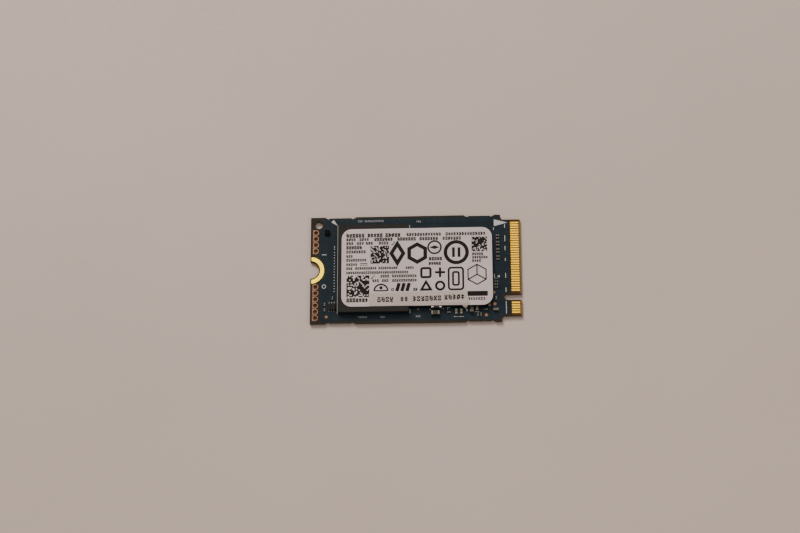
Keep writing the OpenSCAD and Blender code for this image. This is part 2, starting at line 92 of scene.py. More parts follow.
class Look:
    """One node material. Its position is the object's own, in millimetres."""

    def __init__(self, name, metallic=0.0, specular=0.5):
        self.material = bpy.data.materials.new(name)
        self.material.use_nodes = True
        self.tree = self.material.node_tree
        self.shader = self.tree.nodes["Principled BSDF"]
        self.shader.inputs["Metallic"].default_value = metallic
        self.shader.inputs["Specular IOR Level"].default_value = specular
        self.position = self.node(
            "ShaderNodeVectorMath",
            {0: self.node("ShaderNodeTexCoord").outputs["Object"], "Scale": METRES_TO_MM},
            operation="SCALE",
        ).outputs[0]

    def node(self, kind, inputs=None, **settings):
        made = self.tree.nodes.new(kind)
        for name, value in settings.items():
            setattr(made, name, value)
        for key, value in (inputs or {}).items():
            self.feed(made.inputs[key], value)
        return made

    def feed(self, socket, value):
        if isinstance(value, bpy.types.NodeSocket):
            self.tree.links.new(value, socket)
        else:
            socket.default_value = value

    def feed_colour(self, socket, value):
        self.feed(socket, value if isinstance(value, bpy.types.NodeSocket) else (*value, 1.0))

    def stretched(self, x, y, z):
        inputs = {0: self.position, 1: (x, y, z)}
        return self.node("ShaderNodeVectorMath", inputs, operation="MULTIPLY").outputs[0]

    def noise(self, scale, detail=3.0, roughness=0.55, vector=None):
        inputs = {"Vector": vector or self.position, "Scale": scale, "Detail": detail, "Roughness": roughness}
        return self.node("ShaderNodeTexNoise", inputs).outputs["Fac"]

    def cells(self, scale):
        inputs = {"Vector": self.position, "Scale": scale}
        return self.node("ShaderNodeTexVoronoi", inputs, feature="F1").outputs["Distance"]

    def wave(self, scale, direction, distortion=0.4, detail=2.0):
        inputs = {"Vector": self.position, "Scale": scale, "Distortion": distortion, "Detail": detail}
        return self.node("ShaderNodeTexWave", inputs, bands_direction=direction).outputs["Fac"]

    def span(self, value, low, high, out_low=0.0, out_high=1.0):
        inputs = {"Value": value, "From Min": low, "From Max": high, "To Min": out_low, "To Max": out_high}
        return self.node("ShaderNodeMapRange", inputs).outputs["Result"]

    def math(self, operation, first, second):
        return self.node("ShaderNodeMath", {0: first, 1: second}, operation=operation).outputs[0]

    def mix(self, factor, first, second):
        made = self.node("ShaderNodeMix", data_type="RGBA")
        self.feed(made.inputs["Factor"], factor)
        for name, value in (("A", first), ("B", second)):
            socket = [s for s in made.inputs if s.name == name and s.type == "RGBA"][0]
            self.feed_colour(socket, value)
        return [s for s in made.outputs if s.type == "RGBA"][0]

    def facing_up(self):
        """1 on a level face, 0 on an upright wall."""
        normal = self.node("ShaderNodeNewGeometry").outputs["Normal"]
        height = self.node("ShaderNodeSeparateXYZ", {0: normal}).outputs["Z"]
        return self.math("ABSOLUTE", height, 0.0)

    def colour(self, value):
        self.feed_colour(self.shader.inputs["Base Color"], value)

    def rough(self, value):
        self.feed(self.shader.inputs["Roughness"], value)

    def bump(self, *layers):
        """Each layer is a height between 0 and 1 and its depth in millimetres."""
        normal = None
        for height, depth in layers:
            inputs = {"Height": height, "Distance": depth * MM, "Strength": 1.0}
            if normal:
                inputs["Normal"] = normal
            normal = self.node("ShaderNodeBump", inputs).outputs["Normal"]
        self.feed(self.shader.inputs["Normal"], normal)
        return self.material


def laminate_look():
    """Glass-epoxy: woven where bare, layered on its side walls, paler on the bevel: milled fibre and a
    painted highlight.
    """
    look = Look("laminate", specular=0.10)
    weave = look.math("MULTIPLY", look.wave(1.5, "X", 0.6), look.wave(1.5, "Y", 0.6))
    face = look.mix(look.span(weave, 0.05, 0.7), (0.038, 0.014, 0.002), (0.100, 0.040, 0.007))
    stained = look.mix(look.span(look.noise(0.9), 0.35, 0.75, 0.0, 0.6), face, (0.040, 0.014, 0.002))
    plies = look.wave(7.5, "Z", 0.8, 3.0)
    fibres = look.noise(9.0, 4.0, 0.6, look.stretched(1.0, 1.0, 9.0))
    layers = look.span(look.math("ADD", plies, fibres), 0.5, 1.4)
    edge = look.mix(layers, (0.020, 0.015, 0.008), (0.070, 0.052, 0.028))
    # paler tone on the tilted faces of the bevel: partly the pale milled fibre, partly a painted highlight
    bevel_fibre_and_highlight = look.mix(look.span(fibres, 0.3, 0.7), (0.110, 0.068, 0.028), (0.200, 0.130, 0.060))
    faces = look.mix(look.span(look.facing_up(), 0.95, 0.99), bevel_fibre_and_highlight, stained)
    look.colour(look.mix(look.span(look.facing_up(), 0.4, 0.6), edge, faces))
    look.rough(look.span(look.noise(6.0), 0.3, 0.7, 0.38, 0.62))
    return look.bump((weave, 0.006), (fibres, 0.006))


def mask_look(name, deep, light):
    """Solder mask: a thin glossy lacquer over whatever lies under it."""
    look = Look(name, specular=0.08)
    cloud = look.noise(0.35, 3.0)
    grain = look.noise(14.0, 4.0, 0.65)
    tone = look.mix(look.span(cloud, 0.3, 0.7), deep, light)
    speck = look.span(look.cells(5.0), 0.0, 0.10, 0.35, 0.0)
    dusty = look.mix(look.math("MULTIPLY", speck, look.span(grain, 0.45, 0.7)), tone, (0.045, 0.050, 0.050))
    look.colour(dusty)
    look.rough(look.span(look.noise(2.5, 4.0), 0.3, 0.7, 0.34, 0.50))
    return look.bump((grain, 0.0016), (look.noise(1.6, 2.0), 0.006))


def metal_look(name, dark, light, rough_low, rough_high, grain_mm, brush=(1.0, 1.0, 1.0)):
    look = Look(name, metallic=1.0)
    cloud = look.noise(1.8, 4.0)
    fine = look.noise(16.0, 4.0, 0.65, look.stretched(*brush))
    look.colour(look.mix(look.span(cloud, 0.32, 0.68), dark, light))
    look.rough(look.span(look.math("ADD", cloud, fine), 0.7, 1.3, rough_low, rough_high))
    return look.bump((fine, grain_mm), (look.noise(3.0, 2.0), grain_mm * 2.0))


def copper_look():
    """Bare copper: tarnished in patches, with painted shade on the upright walls of the plated holes."""
    look = Look("copper", metallic=1.0)
    cloud = look.noise(2.2, 4.0)
    fine = look.noise(18.0, 4.0, 0.6)
    bright = look.mix(look.span(cloud, 0.3, 0.7), (0.115, 0.064, 0.043), (0.190, 0.116, 0.080))
    faces = look.mix(look.span(look.noise(5.0), 0.50, 0.72, 0.0, 0.6), bright, (0.080, 0.034, 0.019))
    # painted shade: upright faces, the walls down the plated holes, get a dark copper tone
    look.colour(look.mix(look.span(look.facing_up(), 0.4, 0.6), (0.060, 0.024, 0.012), faces))
    look.rough(look.span(fine, 0.3, 0.7, 0.34, 0.52))
    return look.bump((fine, 0.003))


def grain_look(name, dark, light, rough_low, rough_high, grain_scale, grain_mm, speckle=None, specular=0.18):
    """A dull solid with a fine grain: moulding compound, ceramic or pressed powder."""
    look = Look(name, specular=specular)
    cloud = look.noise(0.8, 4.0)
    grain = look.noise(grain_scale, 5.0, 0.7)
    tone = look.mix(look.span(look.math("ADD", cloud, grain), 0.75, 1.25), dark, light)
    if speckle:
        dots = look.span(look.cells(grain_scale * 0.6), 0.0, 0.16, 1.0, 0.0)
        tone = look.mix(look.math("MULTIPLY", dots, look.span(cloud, 0.4, 0.6, 0.3, 0.8)), tone, speckle)
    look.colour(tone)
    look.rough(look.span(grain, 0.3, 0.7, rough_low, rough_high))
    return look.bump((grain, grain_mm), (cloud, grain_mm * 3.0))


def paper_look(name, dark, light, rough_low, rough_high, fibre_mm):
    look = Look(name, specular=0.35)
    cloud = look.noise(0.22, 4.0)
    fibre = look.noise(8.0, 5.0, 0.7, look.stretched(1.0, 2.2, 1.0))
    tone = look.mix(look.span(cloud, 0.3, 0.7), dark, light)
    grey = tuple(channel * 0.86 for channel in dark)
    look.colour(look.mix(look.span(fibre, 0.45, 0.8, 0.0, 0.5), tone, grey))
    look.rough(look.span(fibre, 0.3, 0.7, rough_low, rough_high))
    return look.bump((fibre, fibre_mm), (look.noise(0.6, 2.0), fibre_mm * 6.0))


def ink_look(name, dark, light, rough_low, rough_high):
    """Printed ink: a little patchy, as the dots of a print head leave it."""
    look = Look(name, specular=0.10)
    patch = look.noise(11.0, 4.0, 0.7)
    look.colour(look.mix(look.span(patch, 0.35, 0.75), dark, light))
    look.rough(look.span(patch, 0.3, 0.7, rough_low, rough_high))
    return look.bump((patch, 0.002))


FINE_CERAMIC = (0.35, 0.55, 16.0, 0.002)
LOOKS = {"laminate": laminate_look(), "copper": copper_look()}

RECIPES = [
    (mask_look, {
        # name: deep tone, light tone
        "mask_over_laminate": ((0.0130, 0.0115, 0.0075), (0.0210, 0.0175, 0.0110)),
        "solder_mask": ((0.0055, 0.0120, 0.0175), (0.0080, 0.0165, 0.0235)),
        "mask_over_trace": ((0.0075, 0.0160, 0.0230), (0.0110, 0.0225, 0.0310)),
        "mask_in_gap": ((0.0030, 0.0062, 0.0085), (0.0050, 0.0095, 0.0125)),
        "substrate": ((0.020, 0.032, 0.012), (0.034, 0.050, 0.020)),
    }),
    (metal_look, {
        # name: dark tone, light tone, lowest and highest roughness, depth of the grain, its stretch
        "gold": ((0.58, 0.32, 0.020), (0.70, 0.43, 0.040), 0.24, 0.36, 0.0012, (1.0, 7.0, 1.0)),
        "pad_gold": ((0.84, 0.52, 0.008), (1.0, 0.80, 0.020), 0.22, 0.40, 0.0012, (1.0, 5.0, 1.0)),
        "silicon": ((0.20, 0.22, 0.26), (0.30, 0.32, 0.37), 0.12, 0.25, 0.0005),
        "solder": ((0.085, 0.085, 0.080), (0.170, 0.170, 0.160), 0.22, 0.40, 0.002),
        "tin": ((0.080, 0.075, 0.066), (0.150, 0.142, 0.128), 0.30, 0.50, 0.004),
        # painted highlight: a far brighter copy of tin, the glint on the 0805 ends painted into their colour
        "bright_tin": ((0.48, 0.46, 0.43), (0.74, 0.72, 0.68), 0.28, 0.46, 0.004),
        "dull_tin": ((0.055, 0.052, 0.040), (0.105, 0.100, 0.080), 0.42, 0.60, 0.004),
        "steel_lid": ((0.50, 0.48, 0.43), (0.66, 0.64, 0.59), 0.25, 0.42, 0.002, (6.0, 1.0, 1.0)),
    }),
    (grain_look, {
        # name: the same, but with the grain's scale and depth, a speckle, and the gloss
        # painted shade: the brown plugs in the ring holes stand in for the shaded view down each hole
        "residue": ((0.190, 0.070, 0.018), (0.380, 0.150, 0.042), 0.30, 0.50, 9.0, 0.004),
        "mould": ((0.0085, 0.0066, 0.0054), (0.0140, 0.0112, 0.0092), 0.56, 0.76, 22.0, 0.0035,
                  (0.026, 0.022, 0.019)),
        "dark_mould": ((0.0028, 0.0024, 0.0022), (0.0060, 0.0052, 0.0048), 0.50, 0.70, 22.0, 0.0035),
        # painted shade: a blacker, less glossy copy of the moulding compound for the square chip, which lies
        # in shade
        "black_mould": ((0.0016, 0.0014, 0.0012), (0.0036, 0.0032, 0.0028), 0.55, 0.75, 22.0, 0.0035,
                        None, 0.05),
        "film": ((0.55, 0.43, 0.18), (0.70, 0.58, 0.28), 0.5, 0.7, 10.0, 0.002),
        "ceramic_brown": ((0.066, 0.046, 0.034), (0.110, 0.078, 0.058), *FINE_CERAMIC),
        "ceramic_tan": ((0.085, 0.065, 0.040), (0.140, 0.110, 0.070), *FINE_CERAMIC),
        "ceramic_olive": ((0.030, 0.023, 0.011), (0.052, 0.041, 0.021), *FINE_CERAMIC),
        "ceramic_dark": ((0.026, 0.027, 0.018), (0.045, 0.046, 0.032), 0.45, 0.65, 16.0, 0.003),
        "alumina": ((0.62, 0.61, 0.57), (0.78, 0.77, 0.74), 0.45, 0.65, 16.0, 0.002),
        "inductor_body": ((0.055, 0.055, 0.058), (0.11, 0.11, 0.115), 0.5, 0.7, 12.0, 0.006,
                          (0.22, 0.22, 0.22)),
    }),
    (paper_look, {
        # name: dark tone, light tone, lowest and highest roughness, depth of the fibres
        "label_paper": ((0.435, 0.366, 0.362), (0.480, 0.405, 0.398), 0.42, 0.58, 0.0016),
        "sticker_paper": ((0.368, 0.302, 0.274), (0.415, 0.346, 0.314), 0.50, 0.66, 0.0022),
    }),
    (ink_look, {
        # name: dark tone, light tone, lowest and highest roughness
        "ink": ((0.0035, 0.0028, 0.0024), (0.0080, 0.0064, 0.0054), 0.42, 0.60),
        "typed_ink": ((0.008, 0.0068, 0.0050), (0.020, 0.017, 0.0125), 0.5, 0.7),
        "legend": ((0.34, 0.33, 0.33), (0.52, 0.51, 0.50), 0.5, 0.7),
    }),
]
for make_look, recipes in RECIPES:
    for new_look, recipe in recipes.items():
        LOOKS[new_look] = make_look(new_look, *recipe)

# The bare CAD mask has no copper under it. The copper pours of this script lie on it.
LOOK_OF_SLOT = {"solder_mask": "mask_over_laminate"}
LOOK_OF_NODE = {"screw_pads": "pad_gold", "capacitor_0603_bodies": "ceramic_olive",
                # The 0805 terminals get the brighter copy of tin, a painted highlight.
                "capacitor_0805_terminals": "bright_tin", "ferrite_bead_terminals": "dull_tin",
                # The square chip gets the blacker mould as painted shade.
                "six_lead_chip_body": "dark_mould", "square_chip_body": "black_mould"}

for entry in frame["record"]["subparts"]:
    slot_name = entry["material_slot"]
    node_materials = nodes[entry["node"]].data.materials
    node_materials.clear()
    look_name = LOOK_OF_NODE.get(entry["node"], LOOK_OF_SLOT.get(slot_name, slot_name))
    node_materials.append(LOOKS[look_name])


# ---------------- making pieces


class Piece:
    """Collects closed solids, in board millimetres, and turns them into one riding object."""

    def __init__(self, name, slot, look=None, surface=None):
        self.name = name
        self.slot = slot
        self.look = LOOKS[look or slot]
        self.surface = surface
        self.points = []
        self.faces = []

    def add(self, points, faces):
        start = len(self.points)
        self.points.extend(points)
        self.faces.extend(tuple(start + i for i in face) for face in faces)

    def loft(self, loops, closed=False):
        """Joins loops of equal length in turn, and caps both ends unless the last meets the first."""
        count = len(loops[0])
        faces = []
        for ring in range(len(loops) if closed else len(loops) - 1):
            low, high = ring * count, (ring + 1) % len(loops) * count
            for i in range(count):
                j = (i + 1) % count
                faces.append((low + i, low + j, high + j, high + i))
        if not closed:
            last = (len(loops) - 1) * count
            faces += [tuple(reversed(range(count))), tuple(range(last, last + count))]
        self.add([point for loop in loops for point in loop], faces)

    def prism(self, outline, low, high):
        self.loft([[(x, y, low) for x, y in outline], [(x, y, high) for x, y in outline]])

    def box(self, x0, x1, y0, y1, low, high):
        self.prism([(x0, y0), (x1, y0), (x1, y1), (x0, y1)], low, high)

    def band(self, route, width, low, high, closed=False, step=0.45):
        """A flat stroke of even width along a route, with mitred corners."""
        edges = []
        for i, (x, y) in enumerate(route):
            before = route[i - 1] if closed or i else route[0]
            after = route[(i + 1) % len(route)] if closed or i < len(route) - 1 else route[-1]
            nx, ny = mitre(before, (x, y), after, width / 2)
            edges.append((x + nx, y + ny, x - nx, y - ny))
        stations = []
        for start, end in zip(edges, edges[1:] + edges[:1] if closed else edges[1:]):
            parts = max(1, math.ceil(math.dist(start, end) / (1.5 * step)))
            for i in range(parts):
                stations.append([a + (b - a) * i / parts for a, b in zip(start, end)])
        if not closed:
            stations.append(edges[-1])
        self.loft([[(rx, ry, low), (lx, ly, low), (lx, ly, high), (rx, ry, high)]
                   for lx, ly, rx, ry in stations], closed)

    def ring(self, x, y, radius, width, low, high, sides=40):
        self.band(circle_route(x, y, radius, sides), width, low, high, closed=True, step=9.0)

    def turned(self, x, y, profile, sides=20):
        """A solid turned about an upright axis. Its profile is a list of radius and height."""
        self.loft([[(px, py, z) for px, py in circle_route(x, y, radius, sides)] for radius, z in profile])

    def build(self, smooth_angle=35.0, replaces=None):
        mesh = bpy.data.meshes.new(self.name)
        lift = self.surface or (lambda x, y: 0.0)
        mesh.from_pydata([world(x, y, z + lift(x, y)) for x, y, z in self.points], [], self.faces)
        mesh.validate()
        shell = bmesh.new()
        shell.from_mesh(mesh)
        bmesh.ops.recalc_face_normals(shell, faces=shell.faces)
        shell.to_mesh(mesh)
        shell.free()
        mesh.materials.append(self.look)
        mesh.shade_smooth()
        mesh.set_sharp_from_angle(angle=math.radians(smooth_angle))
        made = put_in_scene(self.name, mesh)
        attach(made, "root")
        if replaces:
            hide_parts(replaces)


def circle_route(x, y, radius, sides, start=0.0, end=360.0):
    full = end - start >= 360.0
    count = sides if full else sides + 1
    angles = [math.radians(start + (end - start) * i / sides) for i in range(count)]
    return [(x + radius * math.cos(a), y + radius * math.sin(a)) for a in angles]


def mitre(before, here, after, half_width):
    """The offset to the left of a route at one of its points."""
    directions = []
    for start, end in ((before, here), (here, after)):
        dx, dy = end[0] - start[0], end[1] - start[1]
        length = math.hypot(dx, dy)
        if length > 1e-9:
            directions.append((dx / length, dy / length))
    (ax, ay), (bx, by) = directions[0], directions[-1]
    nx, ny = -(ay + by), ax + bx
    length = math.hypot(nx, ny)
    nx, ny = nx / length, ny / length
    reach = half_width / max(0.35, nx * -ay + ny * ax)
    return nx * reach, ny * reach


def rounded_route(x0, x1, y0, y1, radius, sides=6):
    corners = [(x1 - radius, y1 - radius, 0), (x0 + radius, y1 - radius, 90),
               (x0 + radius, y0 + radius, 180), (x1 - radius, y0 + radius, 270)]
    return [point for x, y, turn in corners for point in circle_route(x, y, radius, sides, turn, turn + 90)]


def filled_sheet(name, look, outlines, low, high):
    """A flat sheet from closed outlines, where each outline inside another cuts a hole."""
    curve = bpy.data.curves.new(name, "CURVE")
    curve.dimensions = "2D"
    curve.fill_mode = "BOTH"
    curve.extrude = (high - low) / 2 * MM
    for outline in outlines:
        spline = curve.splines.new("POLY")
        spline.points.add(len(outline) - 1)
        for point, (x, y) in zip(spline.points, outline):
            point.co = (*world(x, y, 0), 1.0)
        spline.use_cyclic_u = True
    source = put_in_scene(name + "_curve", curve)
    evaluated = source.evaluated_get(bpy.context.evaluated_depsgraph_get())
    mesh = bpy.data.meshes.new_from_object(evaluated)
    bpy.data.objects.remove(source)
    mesh.transform(Matrix.Translation((0, 0, (low + high) / 2 * MM)))
    mesh.materials.clear()
    mesh.materials.append(LOOKS[look])
    made = put_in_scene(name, mesh)
    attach(made, "root")


# ---------------- board relief

COPPER_RISE = 0.006
TRACE_RISE = 0.011
LEGEND_RISE = 0.018
TRACE_WIDTH = 0.12
MOAT_WIDTH = 0.32
CONTACT_PITCH = 0.5
FIRST_CONTACT_Y = 9.25
CONTACT_START_X = BOARD_LENGTH - 2.05
MASK_END_X = CONTACT_START_X - 0.15
RING_X = 1.05
RING_PITCH = 1.27
RING_ROWS = [7.8 - RING_PITCH * i for i in range(4)] + [-3.48 - RING_PITCH * i for i in range(6)]
PADS = {
    # x, y and diameter of the bare copper pads
    "top": [(3.3, -9.65, 0.6), (34.9, -9.7, 0.65), (36.6, -7.5, 0.65), (36.5, -5.1, 0.5), (21.5, -8.35, 0.4)],
    "bottom": [(8.5, 7.5, 0.8), (8.5, 5.5, 0.8), (8.5, 3.5, 0.8), (24.0, -8.0, 0.8), (26.0, -8.0, 0.8),
               (33.5, 4.0, 0.8)],
}
PAD_MARGIN = 0.14
VIA_SPACING = 0.62
VIA_PROFILE = [(0.23, 0.0), (0.21, TRACE_RISE), (0.13, TRACE_RISE), (0.07, COPPER_RISE + 0.002)]
LOOSE_VIAS = 240
SIDES = {"top": (BOARD_TOP, 1.0), "bottom": (0.0, -1.0)}


def heights(side, low, high):
    """The two Z values of a layer that lies from low to high above a face of the board."""
    base, out = SIDES[side]
    return sorted((base + out * low, base + out * high))


def pour_outline():
    """The copper area under the mask: inside the edges, round the notch, the rings and the key."""
    edge_y = BOARD_WIDTH / 2 - 0.4
    start_x = 2.0
    shoulder_x = BOARD_LENGTH - 4.3
    end_x = MASK_END_X - 0.2
    tongue_y = 9.6
    key_top, key_low, key_x = -5.3, -6.95, 38.2
    hole = (1.6, 9.45, 1.35)
    upper = math.degrees(math.asin((edge_y - hole[1]) / hole[2]))
    lower = -math.degrees(math.acos((start_x - hole[0]) / hole[2]))
    notch_radius = 3.0
    notch_turn = math.degrees(math.acos(start_x / notch_radius))
    outline = [(shoulder_x, edge_y)]
    outline += circle_route(hole[0], hole[1], hole[2], 14, upper, lower)
    outline += circle_route(0.0, 0.0, notch_radius, 20, notch_turn, -notch_turn)
    outline += [(start_x, -edge_y), (shoulder_x, -edge_y), (shoulder_x, -tongue_y), (end_x, -tongue_y)]
    outline += [(end_x, key_low), (key_x, key_low), (key_x, key_top), (end_x, key_top)]
    outline += [(end_x, tongue_y), (shoulder_x, tongue_y)]
    return outline


def make_pour(side):
    holes = [circle_route(x, y, size / 2 + PAD_MARGIN, 20) for x, y, size in PADS[side]]
    low, high = heights(side, 0.0, COPPER_RISE)
    filled_sheet("copper_pour_" + side, "solder_mask", [pour_outline()] + holes, low, high)


def jog(x0, y0, x1, y1, turn_x):
    """A trace that leaves level, crosses at 45 degrees from turn_x, and ends level."""
    reach = abs(y1 - y0)
    sign = 1 if x1 > x0 else -1
    return [(x0, y0), (turn_x, y0), (turn_x + sign * reach, y1), (x1, y1)]


def top_traces():
    """Paired lanes from the contacts, stubs from the rings, and lanes drawn one by one."""
    traces = []
    coupled_rows = {5: (6.6, 6.0), 8: (5.2, 4.6), 11: (3.7, 3.1), 14: (2.25, 1.65)}
    for place in range(2, 27, 3):
        for i in (0, 1):
            y = FIRST_CONTACT_Y - CONTACT_PITCH * (place + i)
            if place in coupled_rows:
                row = coupled_rows[place][i]
                traces.append(jog(CONTACT_START_X, y, 37.75, row, 39.1))
                traces.append([(37.05, row), (35.4, row)])
            elif -4.2 <= y <= -2:
                traces.append(jog(CONTACT_START_X, y, 37.4, y + 0.3, 38.9))
            else:
                traces.append([(CONTACT_START_X, y), (38.3, y), (35.4, y)])
    for i, y in enumerate(RING_ROWS):
        traces.append(jog(RING_X + 0.7, y, 3.0, y - 0.3, 2.1 + 0.1 * (i % 3)))
    traces += [
        [(3.3, -9.65), (3.75, -9.65), (4.05, -9.35), (5.9, -9.35)],
        [(3.35, 7.3), (3.35, 5.9), (3.75, 5.5), (3.75, 0.6), (4.15, 0.2), (5.9, 0.2)],
        [(3.85, 7.6), (4.15, 7.3), (4.15, 1.3), (4.5, 0.95), (5.9, 0.95)],
        [(4.5, -5.55), (4.5, -3.2), (4.15, -2.85), (4.15, -1.2), (4.45, -0.9), (5.9, -0.9)],
        [(2.95, -6.8), (2.95, -5.4), (3.4, -4.95), (3.4, -1.4), (3.8, -1.0)],
        [(34.9, -9.7), (34.9, -9.2), (35.5, -8.95)],
        [(36.6, -7.5), (37.5, -7.5), (37.9, -7.1), (37.9, -4.6), (37.5, -4.2), (37.3, -4.1)],
        [(36.5, -5.1), (37.0, -5.1), (37.45, -5.55), (37.45, -6.4)],
        [(26.4, -9.2), (27.2, -9.2)],
        [(28.0, -9.1), (28.4, -9.5), (28.9, -9.5)],
        [(20.3, 9.5), (35.6, 9.5), (36.4, 8.9)],
        [(20.3, 9.2), (35.3, 9.2), (36.1, 8.5)],
        [(6.2, -10.0), (21.0, -10.0), (21.6, -9.6), (23.6, -9.6)],
        [(7.2, -10.3), (21.6, -10.3), (22.2, -10.0), (24.2, -10.0)],
    ]
    return traces


def bottom_traces():
    """Lanes from the contacts to the middle, a bundle along the board, and lanes from the rings."""
    traces = []
    for place in (1, 2, 5, 6, 9, 10, 13, 14, 17, 18, 21, 22, 25, 26):
        y = FIRST_CONTACT_Y - CONTACT_PITCH * (place + 0.5)
        traces.append(jog(CONTACT_START_X, y, 30.5 - 0.3 * (place % 4), y * 0.72, 38.6 - 0.12 * place))
    for lane in range(14):
        y = 4.6 - 0.62 * lane
        traces.append([(28.8 - 0.2 * lane, y), (24.0 - 0.1 * lane, y), (22.9 - 0.1 * lane, y - 1.1),
                       (9.5 + 0.35 * lane, y - 1.1)])
    for i, y in enumerate(RING_ROWS):
        traces.append(jog(RING_X + 0.7, y, 6.6 + 0.4 * i, y * 0.8, 2.6))
    traces += [
        [(8.5, 7.5), (13.0, 7.5), (13.8, 8.3), (30.0, 8.3), (31.2, 7.1), (33.0, 7.1)],
        [(8.5, 5.5), (12.2, 5.5), (13.0, 6.3), (27.5, 6.3)],
        [(24.0, -8.0), (21.0, -8.0), (20.2, -8.8), (12.0, -8.8)],
        [(26.0, -8.0), (29.4, -8.0), (30.4, -7.0), (34.5, -7.0)],
    ]
    return traces


def clear_of_pads(route, pads):
    """Pulls the ends of a trace back to the rim of the bare pad they start in."""
    route = list(route)
    for end, neighbour in ((0, 1), (-1, -2)):
        (x, y), (nx, ny) = route[end], route[neighbour]
        for px, py, size in pads:
            reach, length = size / 2 + 0.04, math.hypot(nx - x, ny - y)
            if math.hypot(px - x, py - y) < 0.1 and length > reach:
                route[end] = (x + (nx - x) * reach / length, y + (ny - y) * reach / length)
    return route


def crosses_pad(route, pads):
    """Whether a trace runs over a bare pad on its way somewhere else."""
    for x, y, size in pads:
        ends_here = any(math.hypot(x - a, y - b) < size / 2 + 0.1 for a, b in (route[0], route[-1]))
        if not ends_here and near_route(x, y, [route], size / 2 + 0.2):
            return True
    return False


def make_traces(side, routes):
    moats = Piece("trace_gaps_" + side, "solder_mask", "mask_in_gap")
    lines = Piece("traces_" + side, "solder_mask", "mask_over_trace")
    for route in routes:
        moats.band(route, MOAT_WIDTH, *heights(side, 0.0, COPPER_RISE + 0.001), step=99.0)
        lines.band(route, TRACE_WIDTH, *heights(side, 0.0, TRACE_RISE), step=99.0)
    moats.build()
    lines.build()


def near_route(x, y, routes, clearance):
    for route in routes:
        for (x0, y0), (x1, y1) in zip(route, route[1:]):
            span = (x1 - x0) ** 2 + (y1 - y0) ** 2
            t = max(0.0, min(1.0, ((x - x0) * (x1 - x0) + (y - y0) * (y1 - y0)) / max(span, 1e-9)))
            if math.hypot(x - x0 - t * (x1 - x0), y - y0 - t * (y1 - y0)) < clearance:
                return True
    return False


def near_legend(x, y):
    in_corner = x > 36.4 and y > 8.4
    return in_corner or abs(x - 5.45) < 0.4 or abs(x - 38.85) < 0.35


def make_vias(side, routes, seed):
    """Small lacquered holes: rows along the edges and behind the contacts, and loose ones inside."""
    random_source = random.Random(seed)
    places = [(2.6 + 1.17 * i, sign * 10.25) for i in range(30) for sign in (-1, 1)]
    places += [(x, y) for x in (2.75, 38.0) for y in (8.6, 5.0, 1.2, -1.6, -5.2)]
    for place in (0, 1, 4, 7, 10, 13, 16, 19, 22, 25, 28, 35):
        places.append((39.25, FIRST_CONTACT_Y - CONTACT_PITCH * place))
    for _ in range(LOOSE_VIAS):
        places.append((random_source.uniform(3.0, 38.2), random_source.uniform(-9.8, 9.8)))
    vias = Piece("vias_" + side, "solder_mask", "mask_over_trace")
    base, out = SIDES[side]
    kept = []
    for x, y in places:
        crowded = any(math.hypot(x - a, y - b) < VIA_SPACING for a, b in kept)
        on_pad = any(math.hypot(x - a, y - b) < size / 2 + 0.4 for a, b, size in PADS[side])
        under_print = side == "top" and near_legend(x, y)
        if crowded or on_pad or under_print or near_route(x, y, routes, 0.34):
            continue
        kept.append((x, y))
        vias.turned(x, y, [(radius, base + out * rise) for radius, rise in VIA_PROFILE], 14)
    vias.build()


# ---------------- marks that stand for print

# Woven block marks, five rows of three. They spell nothing, but some look like a 0, 3, 8, X or Y.
GLYPHS = [mark.split() for mark in (
    "##. .## ##. .## ##.", "#.# ### .#. ### #.#", ".#. ### .#. ### .#.", "##. ### .## ### ##.",
    "#.# #.# ### .#. ###", "### #.# .#. #.# ###", ".## ### #.# ### ##.", "### .#. #.# #.# ###",
    "#.# .## ##. .## ###", "##. #.# ### #.# .##",
)]
DARK_SHARE = 0.74


def dark_runs(cells):
    """The start and end of each unbroken run of dark cells."""
    padded = [False, *cells, False]
    turns = [i for i in range(len(cells) + 1) if padded[i] != padded[i + 1]]
    return zip(turns[::2], turns[1::2])


def greek_line(piece, x0, x1, y0, y1, z, weight, random_source, turn=0.0):
    """A line of meaningless block marks, as a layout dummy has in place of words."""
    height = y1 - y0
    cell, gap = 0.62 * height, 0.20 * height
    dot, row = cell / 3, height / 5
    thin_x, thin_y = (1 - weight) * dot / 2, (1 - weight) * row / 2
    x = x0
    while x + cell <= x1 + 0.05:
        base = y0 + (x - x0) * turn
        for line, marks in enumerate(random_source.choice(GLYPHS)):
            top = base + height - line * row
            for start, end in dark_runs([mark == "#" for mark in marks]):
                left, right = x + start * dot + thin_x, x + end * dot - thin_x
                piece.box(left, right, top - row + thin_y, top - thin_y, *z)
        x += cell + gap


def scatter_code(piece, x0, x1, y0, y1, z, count, random_source):
    """A square field of random dark modules that encodes nothing."""
    wide, tall = (x1 - x0) / count, (y1 - y0) / count
    for row in range(count):
        low, high = y0 + row * tall, y0 + (row + 1) * tall
        for start, end in dark_runs([random_source.random() < DARK_SHARE for _ in range(count)]):
            piece.box(x0 + start * wide, x0 + end * wide, low, high, *z)


def make_hole_shade_plugs():
    """Painted shade: brown plugs near the underside of the plated ring holes, in place of the shade down each
    hole.
    """
    residue = Piece("ring_hole_shade_plugs", "laminate", "residue")
    profile = [(0.42, 0.03), (0.42, 0.34), (0.34, 0.22), (0.18, 0.16)]
    for y in RING_ROWS:
        residue.turned(RING_X, y, profile)
    residue.build()


